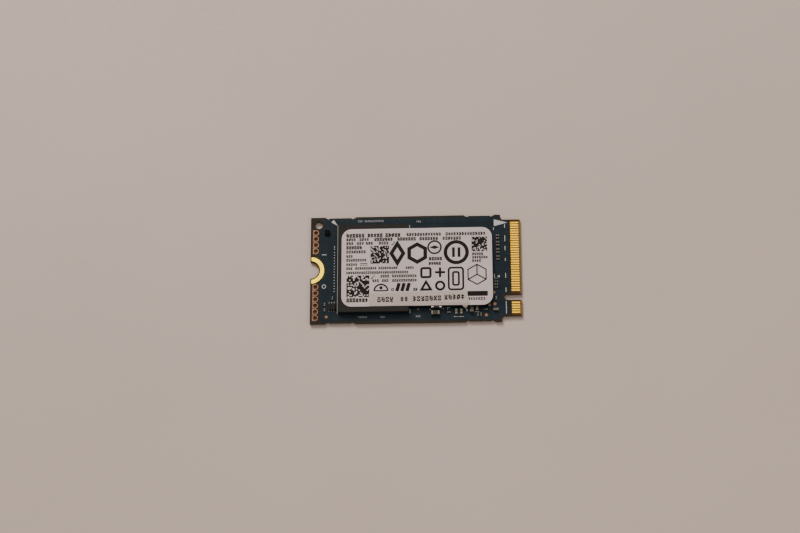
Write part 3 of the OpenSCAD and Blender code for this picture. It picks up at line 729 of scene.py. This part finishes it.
def make_bottom_legend():
    """White marks on the underside: pad rings, end bars, and block marks, most of them in a frame."""
    legend = Piece("bottom_legend", "legend")
    z = heights("bottom", 0.0, LEGEND_RISE * 0.7)
    random_source = random.Random(12)
    for x, y, size in PADS["bottom"]:
        legend.ring(x, y, size / 2 + 0.28, 0.11, *z, sides=28)
    for x in (2.6, 38.85):
        for high, low in ((9.0, 7.6), (5.4, 3.8), (-7.4, -9.0)):
            legend.band([(x, high), (x, low)], 0.12, *z)
    legend.band(rounded_route(12.0, 19.0, -6.2, -2.2, 0.4), 0.12, *z, closed=True)
    for x0, x1, y0 in ((12.8, 18.4, -3.6), (12.8, 16.4, -4.7), (12.8, 17.6, -5.7), (28.0, 36.0, 9.6)):
        greek_line(legend, x0, x1, y0, y0 + 0.55, z, 0.9, random_source)
    legend.build()


def make_legend():
    """White marks printed on the top mask."""
    legend = Piece("legend", "legend")
    z = heights("top", 0.0, LEGEND_RISE)
    random_source = random.Random(11)
    legend.prism([(4.1, 10.0), (4.6, 10.5), (5.45, 9.2)], *z)
    legend.prism([(36.72, 10.0), (36.72, 8.6), (39.4, 9.3)], *z)
    legend.prism([(37.2, -1.85), (37.65, -1.6), (37.65, -2.1)], *z)
    legend.prism([(30.75, -8.15), (31.35, -8.6), (31.05, -9.05)], *z)
    upright = [(5.45, 9.2, -9.0, 0.07), (36.62, 8.3, 7.8, 0.13), (36.65, -1.4, -2.2, 0.12),
               (19.85, 9.1, 8.4, 0.12), (19.85, -8.3, -9.1, 0.12), (26.5, -8.1, -8.45, 0.1),
               (23.8, -8.15, -8.55, 0.1), (4.8, 4.95, 4.6, 0.12), (4.8, 4.45, 4.2, 0.12)]
    dashes = [(9.0, 8.2), (6.6, 5.4), (4.4, 3.5), (1.9, 1.3), (-1.2, -2.2), (-4.2, -5.1), (-7.0, -9.5)]
    upright += [(38.85, high, low, 0.13) for high, low in dashes]
    upright += [(4.8, 3.72 - 0.58 * i, 3.58 - 0.58 * i, 0.2) for i in range(15)]
    level = [(2.3, 3.2, 3.2, 0.15), (28.5, 29.4, -9.95, 0.09), (29.6, 30.5, -9.95, 0.09),
             (32.7, 33.5, -9.05, 0.08)]
    strokes = [([(x, high), (x, low)], width) for x, high, low, width in upright]
    strokes += [([(x0, y), (x1, y)], width) for x0, x1, y, width in level]
    strokes.append(([(27.25, -8.5), (27.25, -8.1), (27.8, -8.1)], 0.09))
    for route, width in strokes:
        legend.band(route, width, *z, step=99.0)
    legend.ring(2.75, -3.4, 0.36, 0.13, *z, sides=20)
    for x0, x1, y0, y1 in ((9.5, 10.4, 9.9, 10.3), (10.8, 14.9, 9.9, 10.3), (21.2, 22.1, 9.65, 10.05),
                           (9.6, 11.6, -9.98, -9.6), (14.0, 14.9, -9.98, -9.6), (21.0, 22.0, -9.98, -9.6)):
        greek_line(legend, x0, x1, y0, y1, z, 0.62, random_source)
    legend.build()


# ---------------- label and sticker

LABEL = {"x": (6.35, 36.25), "y": (-7.95, 8.05), "corner": 2.0, "thickness": 0.09}
STICKER_THICKNESS = 0.055
BOLD, PLAIN, FINE = 1.44, 1.28, 1.12
PRINT_RISE = 0.008
LABEL_TOP = PACKAGE_TOP + LABEL["thickness"]


def ease(value, low, high):
    t = max(0.0, min(1.0, (value - low) / (high - low)))
    return t * t * (3 - 2 * t)


def label_lift(x, y):
    """How far the label lies off its flat plane: it sags where no package holds it up."""
    clear = 1 - ease(x, CONTROLLER_START_X - 1.6, CONTROLLER_START_X)
    gap = ease(x, FLASH_END_X, FLASH_END_X + 1.6) * clear
    past_end = ease(x, CONTROLLER_END_X, CONTROLLER_END_X + 1.6)
    past_side = ease(abs(y), CONTROLLER_SIDE_Y, CONTROLLER_SIDE_Y + 2.6)
    past_side *= ease(x, FLASH_END_X, FLASH_END_X + 2.0)
    ripple = 0.5 + 0.5 * math.sin(0.9 * x + 0.4 * y) * math.sin(0.7 * y - 0.23 * x + 1.0)
    sag = -0.035 * gap - 0.05 * past_end - 0.06 * past_side * (0.7 + 0.3 * math.sin(1.1 * x))
    return sag + 0.004 * ripple


def sticker_lift(x, y):
    """The sticker follows the label, has one pleat, and hangs over the label's lower edge."""
    pleat_y = -7.33 - 0.02 * (x - 24)
    pleat = 0.075 * math.exp(-((y - pleat_y) / 0.09) ** 2) * ease(x, 23.6, 26.0)
    edge = LABEL["y"][0]
    hang = -0.95 * max(0.0, edge - y) ** 1.15
    loose = 0.02 * ease(x, 27.0, 31.0) * ease(-y, 6.6, 7.6)
    return label_lift(x, max(y, edge)) + pleat + loose + hang


def sheet_grid(name, slot, rows, low, thickness, lift):
    """A thin closed sheet over rows of points, each row the same length."""
    piece = Piece(name, slot, surface=lift)
    count = len(rows[0])
    faces = []
    size = len(rows) * count
    for r in range(len(rows) - 1):
        for c in range(count - 1):
            a, b = r * count + c, (r + 1) * count + c
            faces.append((a, a + 1, b + 1, b))
            faces.append((size + a, size + b, size + b + 1, size + a + 1))
    rim = list(range(count)) + [r * count + count - 1 for r in range(1, len(rows))]
    rim += [(len(rows) - 1) * count + c for c in reversed(range(count - 1))]
    rim += [r * count for r in reversed(range(1, len(rows) - 1))]
    for a, b in zip(rim, rim[1:] + rim[:1]):
        faces.append((a, size + a, size + b, b))
    flat = [point for row in rows for point in row]
    piece.add([(x, y, low) for x, y in flat] + [(x, y, low + thickness) for x, y in flat], faces)
    return piece


def make_label():
    """The main label: rows from its lower to its upper edge, shorter where the corners are round."""
    (x0, x1), (y0, y1), radius = LABEL["x"], LABEL["y"], LABEL["corner"]
    middle = (x0 + x1) / 2
    turns = [math.radians(90 * i / 8) for i in range(9)]
    lower = [y0 + radius - radius * math.cos(t) for t in turns]
    upper = [y1 - radius + radius * math.sin(t) for t in turns]
    between = [lower[-1] + (upper[0] - lower[-1]) * i / 30 for i in range(1, 30)]
    columns = 76
    rows = []
    for y in lower + between + upper:
        inward = max(0.0, y0 + radius - y, y - (y1 - radius))
        cut = radius - math.sqrt(max(0.0, radius * radius - inward * inward))
        half = (x1 - x0) / 2 - cut
        rows.append([(middle + half * (2 * i / columns - 1), y) for i in range(columns + 1)])
    sheet = sheet_grid("main_label_sheet", "label_paper", rows, PACKAGE_TOP, LABEL["thickness"], label_lift)
    sheet.build(replaces="main_label")


def make_sticker():
    """The second sticker: a slanted strip whose right end is wavy and hangs lower."""
    steps, columns = 26, 84
    left_x = 11.8
    rows = []
    for r in range(steps + 1):
        v = r / steps
        right_x = 31.1 + 0.45 * ease(v, 0.0, 0.75) - 0.5 * ease(v, 0.75, 1.0)
        row = []
        for c in range(columns + 1):
            u = c / columns
            x = left_x + 0.05 * v + (right_x - left_x) * u
            top = -5.35 + 0.4 * u
            bottom = -7.9 - 0.5 * ease(x, 30.0, 30.7)
            row.append((x, top + (bottom - top) * v))
        rows.append(row)
    sheet = sheet_grid("second_sticker_sheet", "sticker_paper", rows, LABEL_TOP, STICKER_THICKNESS,
                       sticker_lift)
    sheet.build(replaces="second_sticker")


LABEL_ROWS = [
    # y0, y1, weight, and x0, x1 of each word
    (6.3, 7.05, BOLD, (7.3, 10.95), (11.55, 14.6), (15.1, 18.3)),
    (6.4, 7.05, PLAIN, (19.3, 26.3), (27.1, 35.0)),
    (5.55, 6.15, PLAIN, (7.3, 9.2), (9.9, 11.7)),
    (5.5, 6.15, BOLD, (12.9, 16.9), (17.5, 21.3), (21.9, 25.9)), (5.5, 6.15, PLAIN, (26.5, 30.3)),
    (4.75, 5.35, PLAIN, (7.3, 9.0), (9.4, 10.9), (11.2, 12.9), (13.8, 15.9)),
    (3.85, 4.5, BOLD, (7.3, 10.4)), (3.0, 3.6, PLAIN, (7.3, 11.1)), (2.1, 2.65, PLAIN, (7.3, 8.7)),
    (1.3, 1.85, PLAIN, (7.3, 11.5)), (0.4, 0.95, PLAIN, (7.3, 9.7)),
    (-0.4, 0.12, PLAIN, (7.3, 8.7), (9.1, 13.3), (13.7, 17.4), (19.1, 21.0)),
    (-1.3, -0.78, PLAIN, (7.3, 19.7)),
    (-2.1, -1.55, PLAIN, (14.1, 15.8), (16.4, 21.5)),
    (-3.0, -2.45, PLAIN, (12.5, 13.9), (14.4, 15.9), (16.4, 21.5)),
    (-7.05, -6.3, BOLD, (7.4, 11.9)), (1.3, 1.95, BOLD, (23.75, 26.5)), (0.35, 0.95, BOLD, (23.7, 26.0)),
    (2.2, 2.75, PLAIN, (32.3, 34.8)), (1.5, 2.05, PLAIN, (32.3, 35.3)), (0.8, 1.35, PLAIN, (32.3, 34.3)),
    (-7.0, -6.4, FINE, (31.4, 34.8)), (-4.9, -4.35, BOLD, (20.6, 21.6)),
]
CODE_FIELDS = [
    # x0, x1, y0, y1, modules across
    (12.1, 15.8, 0.8, 4.5, 18), (7.35, 11.9, -6.05, -1.6, 17), (32.2, 35.3, 3.0, 6.05, 15),
]
CUBE_CENTRE = (33.2, -1.75)
CUBE_OUTLINE = circle_route(*CUBE_CENTRE, 2.05, 6, 30, 390)

CLOSED_MARKS = [
    # outline, width of the stroke: diamond, hexagon, square, triangle, upright frames, cube
    ([(17.45, 4.85), (18.65, 2.85), (17.45, 0.85), (16.25, 2.85)], 0.74),
    (circle_route(21.4, 2.85, 1.84, 6, 30, 390), 0.74),
    (rounded_route(22.2, 24.0, -2.15, -0.3, 0.3), 0.46),
    ([(22.2, -4.7), (24.05, -4.7), (23.1, -3.1)], 0.46),
    (rounded_route(27.6, 30.45, -4.75, -0.3, 0.5), 0.38),
    (rounded_route(28.45, 29.6, -3.85, -1.2, 0.3), 0.38),
    (CUBE_OUTLINE, 0.24),
]
OPEN_MARKS = [
    # route, width of the stroke: the cross, the arch and its foot, the black bar, a rule, two ticks
    ([(24.9, -1.2), (26.9, -1.2)], 0.46), ([(25.9, -0.2), (25.9, -0.97)], 0.46),
    ([(25.9, -1.43), (25.9, -2.2)], 0.46),
    (circle_route(14.2, -4.85, 1.35, 16, 0, 180), 0.32), ([(12.95, -4.8), (15.45, -4.8)], 0.26),
    ([(31.25, -5.66), (35.25, -5.66)], 1.0), ([(10.05, 0.83), (11.5, 0.83)], 0.17),
    ([(12.15, -2.15), (12.4, -2.3), (12.95, -1.5)], 0.16),
    ([(16.25, 4.75), (16.45, 4.6), (17.0, 5.35)], 0.16),
]
RING_MARKS = [
    # x, y, radius, width of the stroke, sides
    (24.85, 4.0, 1.28, 0.34, 40), (29.15, 2.9, 2.15, 0.72, 56), (25.9, -3.95, 0.8, 0.46, 40),
    (16.5, -4.6, 0.24, 0.17, 16),
]


def part_way(start, end, share):
    return tuple(a + (b - a) * share for a, b in zip(start, end))


def make_label_print():
    """Block marks, random fields and plain shapes in the places and weights of the label's print."""
    ink = Piece("label_print", "ink", surface=label_lift)
    z = (LABEL_TOP - 0.002, LABEL_TOP + PRINT_RISE)
    random_source = random.Random(5)
    for y0, y1, weight, *words in LABEL_ROWS:
        for x0, x1 in words:
            greek_line(ink, x0, x1, y0, y1, z, weight, random_source)
    for x0, x1, y0, y1, count in CODE_FIELDS:
        scatter_code(ink, x0, x1, y0, y1, z, count, random_source)
    for outline, width in CLOSED_MARKS:
        ink.band(outline, width, *z, closed=True)
    spokes = [([CUBE_CENTRE, part_way(CUBE_CENTRE, corner, 0.95)], 0.24) for corner in CUBE_OUTLINE[1::2]]
    dashes = [([(x, 0.5), (x + 0.35, 0.5)], 0.16) for x in (10.05, 10.6, 11.15)]
    upright_bars = [([(x, 3.9), (x, 1.9)], 0.55) for x in (28.6, 29.7)]
    slanted_bars = [([(x + 0.37, -4.95), (x + 0.85, -3.3)], 0.68) for x in (16.95, 17.95, 18.95)]
    for route, width in OPEN_MARKS + spokes + dashes + upright_bars + slanted_bars:
        ink.band(route, width, *z)
    for x, y, radius, width, sides in RING_MARKS:
        ink.ring(x, y, radius, width, *z, sides=sides)
    ink.prism([(23.8, 4.0), (24.85, 3.62), (25.9, 4.0), (24.85, 4.38)], *z)
    ink.turned(14.2, -4.2, [(0.34, height) for height in z])
    ink.build()


def make_sticker_print():
    """Words of block marks, each a little higher than the one before, as on a slanted typed line."""
    ink = Piece("sticker_print", "ink", "typed_ink", surface=sticker_lift)
    top = LABEL_TOP + STICKER_THICKNESS
    z = (top - 0.002, top + PRINT_RISE)
    random_source = random.Random(9)
    for x0, x1, y0 in ((13.5, 16.9, -7.15), (18.05, 19.8, -7.1), (20.5, 26.2, -7.06), (26.7, 30.9, -6.84)):
        greek_line(ink, x0, x1, y0, y0 + 1.0, z, FINE, random_source, turn=0.016)
    ink.build()


# ---------------- solder and rounded edges

SOLDER_GAP = 0.02
SOLDER_LIP = 0.004
SOLDER_INSET = 0.01
SOLDER_HOLLOW = 2.1
TOE = 0.14
SIDE_TOE = 0.05
LEAD_FOOT = 0.27
SOLDERED_PARTS = [
    ("capacitor_0805", "body"), ("capacitor_0603", "bodies"), ("capacitor_0402", "bodies"),
    ("capacitor_0201", "bodies"), ("resistor_0201", "bodies"), ("ferrite_bead", "body"),
    ("inductor", "bodies"),
]


def islands(node):
    """The box of each separate solid in a CAD node, in board millimetres."""
    mesh = nodes[node].data
    keys = [tuple(round(c / MM, 3) for c in v.co) for v in mesh.vertices]
    parent = {key: key for key in keys}

    def top(key):
        while parent[key] != key:
            parent[key] = parent[parent[key]]
            key = parent[key]
        return key

    for polygon in mesh.polygons:
        first = top(keys[polygon.vertices[0]])
        for index in polygon.vertices[1:]:
            parent[top(keys[index])] = first
    groups = {}
    for key in parent:
        groups.setdefault(top(key), []).append(key)
    shift = SCREW_END_X / MM
    boxes = []
    for group in groups.values():
        xs, ys, zs = zip(*group)
        boxes.append((min(xs) - shift, max(xs) - shift, min(ys), max(ys), min(zs), max(zs)))
    return sorted(boxes)


def middle(box):
    return (box[0] + box[1]) / 2, (box[2] + box[3]) / 2


def solder_skirt(piece, box, outward, climb, side_climb, toe, side_toe):
    """Solder round three sides of a metal end: hollow-faced, highest at the outer face."""
    x0, x1, y0, y1 = box[:4]
    ox, oy = outward
    cx, cy = middle(box)
    half_out = (x1 - x0) / 2 if ox else (y1 - y0) / 2
    half_side = (y1 - y0) / 2 if ox else (x1 - x0) / 2
    sx, sy = -oy, ox
    # Each station: shares of the half length and half width, of the two toes, and the height.
    flanks = [[(-1.0, side, 0, side, 0.15 * side_climb), (-0.3, side, 0, side, 0.75 * side_climb),
               (0.7, side, 0.15, side, side_climb), (1.0, side, 0.75, 0.6 * side, 1.35 * side_climb)]
              for side in (-1, 1)]
    front = [(1.0, lateral, 1, 0, climb) for lateral in (-0.6, 0.0, 0.6)]

    def place(out, side):
        return cx + ox * out + sx * side, cy + oy * out + sy * side

    steps = 5
    loops = []
    for along, lateral, out_share, side_share, top_height in flanks[0] + front + flanks[1][::-1]:
        out, side = half_out * along, half_side * lateral
        x, y = place(out - SOLDER_INSET * out_share, side - SOLDER_INSET * side_share)
        loop = [(x, y, BOARD_TOP)]
        for step in range(steps + 1):
            t = step / steps
            x, y = place(out + toe * out_share * t, side + side_toe * side_share * t)
            loop.append((x, y, BOARD_TOP + SOLDER_LIP + top_height * (1 - t) ** SOLDER_HOLLOW))
        loop.append((x, y, BOARD_TOP))
        loops.append(loop)
    piece.loft(loops)


def outward_of(end, bodies):
    """The way a metal end faces, away from the nearest body."""
    ex, ey = middle(end)
    nearest_x, nearest_y = min((middle(body) for body in bodies), key=lambda m: math.dist(m, (ex, ey)))
    dx, dy = ex - nearest_x, ey - nearest_y
    return (math.copysign(1, dx), 0) if abs(dx) > abs(dy) else (0, math.copysign(1, dy))


def make_solder():
    """Solder fillets at every metal end, and the thin film of solder under it."""
    solder = Piece("solder_fillets", "solder")
    film = (BOARD_TOP, BOARD_TOP + SOLDER_GAP)
    random_source = random.Random(3)
    for part, form in SOLDERED_PARTS:
        bodies = islands(part + "_" + form)
        for end in islands(part + "_terminals"):
            height = min(0.6, end[5] - end[4])
            small = min(1.0, height / 0.45)
            climb = height * random_source.uniform(0.50, 0.66)
            outward = outward_of(end, bodies)
            solder_skirt(solder, end, outward, climb, 0.22 * height, TOE * small, SIDE_TOE * small)
            solder.box(*end[:4], *film)
    chip = islands("six_lead_chip_body")
    for lead in islands("six_lead_chip_leads"):
        x0, x1, y0, y1 = lead[:4]
        outward = outward_of(lead, chip)
        foot = (x0, x1, y1 - LEAD_FOOT, y1) if outward[1] > 0 else (x0, x1, y0, y0 + LEAD_FOOT)
        solder_skirt(solder, foot, outward, 0.07, 0.05, 0.07, 0.03)
        solder.box(*foot, *film)
    for lead in islands("power_chip_leads"):
        solder.box(*lead[:4], *film)
    x0, x1, y0, y1 = islands("crystal_base")[0][:4]
    pad_x, pad_y = 0.5, 0.4
    for px in (x0, x1 - pad_x):
        for py in (y0, y1 - pad_y):
            solder.box(px, px + pad_x, py, py + pad_y, *film)
    solder.build(smooth_angle=50.0, replaces="solder_joints")


ROUNDED_EDGES = {
    # radius in millimetres: nodes
    0.06: ("inductor_bodies", "capacitor_0805_terminals"),
    0.05: ("six_lead_chip_body", "crystal_lid", "ferrite_bead_body", "ferrite_bead_terminals",
           "capacitor_0805_body", "capacitor_0603_terminals"),
    0.04: ("crystal_base", "capacitor_0603_bodies"),
    0.035: ("capacitor_0402_terminals",),
    0.03: ("power_chip_body", "square_chip_body", "capacitor_0402_bodies"),
    0.028: ("contacts_top", "contacts_bottom"),
    0.02: ("flash_mould", "controller_mould", "capacitor_0201_terminals"),
    0.015: ("capacitor_0201_bodies", "six_lead_chip_leads"),
    0.012: ("resistor_0201_terminals",),
    0.008: ("resistor_0201_bodies",),
}


def round_edges(node, radius):
    """Welds the split edges of a CAD mesh and rounds its sharp ones. The CAD mesh itself stays."""
    owner = nodes[node]
    weld = owner.modifiers.new("weld", "WELD")
    weld.merge_threshold = 0.0005 * MM
    bevel = owner.modifiers.new("bevel", "BEVEL")
    bevel.width = radius * MM
    bevel.segments = 2
    bevel.limit_method = "ANGLE"
    bevel.angle_limit = math.radians(40)
    bevel.harden_normals = True


# ---------------- floor, light and camera


def make_floor():
    """A pale table top, a hair below the board so that the two don't share a plane."""
    look = Look("table_top")
    cloud = look.noise(0.012, 3.0)
    grain = look.noise(1.2, 4.0, 0.6)
    tone = look.mix(look.span(cloud, 0.3, 0.7), (0.442, 0.356, 0.311), (0.474, 0.383, 0.336))
    specks = look.span(look.cells(0.09), 0.0, 0.035, 0.35, 0.0)
    look.colour(look.mix(specks, tone, (0.33, 0.27, 0.23)))
    look.rough(look.span(grain, 0.3, 0.7, 0.55, 0.70))
    look.bump((grain, 0.01))
    half, drop = 0.9, 0.00003
    corners = [(-half, -half, -drop), (half, -half, -drop), (half, half, -drop), (-half, half, -drop)]
    mesh = bpy.data.meshes.new("table_top")
    mesh.from_pydata(corners, [], [(0, 1, 2, 3)])
    mesh.materials.append(look.material)
    put_in_scene("table_top", mesh)


def make_area_light(name, place, size, power, colour):
    """A round soft light that faces the middle of the board."""
    light = bpy.data.lights.new(name, "AREA")
    light.shape = "DISK"
    light.size = size
    light.energy = power
    light.color = colour
    made = put_in_scene(name, light)
    made.location = place
    made.rotation_euler = (-Vector(place)).to_track_quat("-Z", "Y").to_euler()


def make_lights():
    """A large soft window behind the board, weak fill from above and the right, and a warm room."""
    make_area_light("window", (-0.28, 0.80, 0.82), 0.50, 14.5, (1.0, 0.945, 0.885))
    make_area_light("soft_overhead", (-0.04, 0.23, 0.78), 0.36, 0.95, (1.0, 0.95, 0.89))
    make_area_light("soft_fill", (0.60, -0.45, 0.70), 0.5, 2.0, (1.0, 0.945, 0.90))
    world_look = bpy.data.worlds.new("soft_room")
    world_look.use_nodes = True
    background = world_look.node_tree.nodes["Background"]
    background.inputs["Color"].default_value = (1.0, 0.935, 0.875, 1.0)
    background.inputs["Strength"].default_value = 0.38
    bpy.context.scene.world = world_look


def make_camera():
    """Looks almost straight down, from a little beyond the board's lower edge."""
    place = Vector((0.01183182, -0.086713836, 0.29611337))
    view_direction = Vector((-0.0484, 0.2829, -0.9579)).normalized()
    screen_right = Vector((0.99869, -0.00251, -0.05119))
    back = -view_direction
    right = (screen_right - back * screen_right.dot(back)).normalized()
    up = back.cross(right)
    data = bpy.data.cameras.new("camera")
    data.sensor_width = 36.0
    data.lens = 69.7
    data.clip_start = 0.005
    made = put_in_scene("camera", data)
    turned = Matrix((right, up, back)).transposed().to_4x4()
    made.matrix_world = Matrix.Translation(place) @ turned
    bpy.context.scene.camera = made


# ---------------- the scene

make_camera()
make_lights()
make_floor()

for side, drawn, seed in (("top", top_traces(), 21), ("bottom", bottom_traces(), 22)):
    trimmed = [clear_of_pads(route, PADS[side]) for route in drawn]
    routes = [route for route in trimmed if not crosses_pad(route, PADS[side])]
    make_pour(side)
    make_traces(side, routes)
    make_vias(side, routes, seed)
make_legend()
make_bottom_legend()
make_hole_shade_plugs()
make_label()
make_label_print()
make_sticker()
make_sticker_print()
make_solder()
for edge_radius, rounded_nodes in ROUNDED_EDGES.items():
    for node_name in rounded_nodes:
        round_edges(node_name, edge_radius)
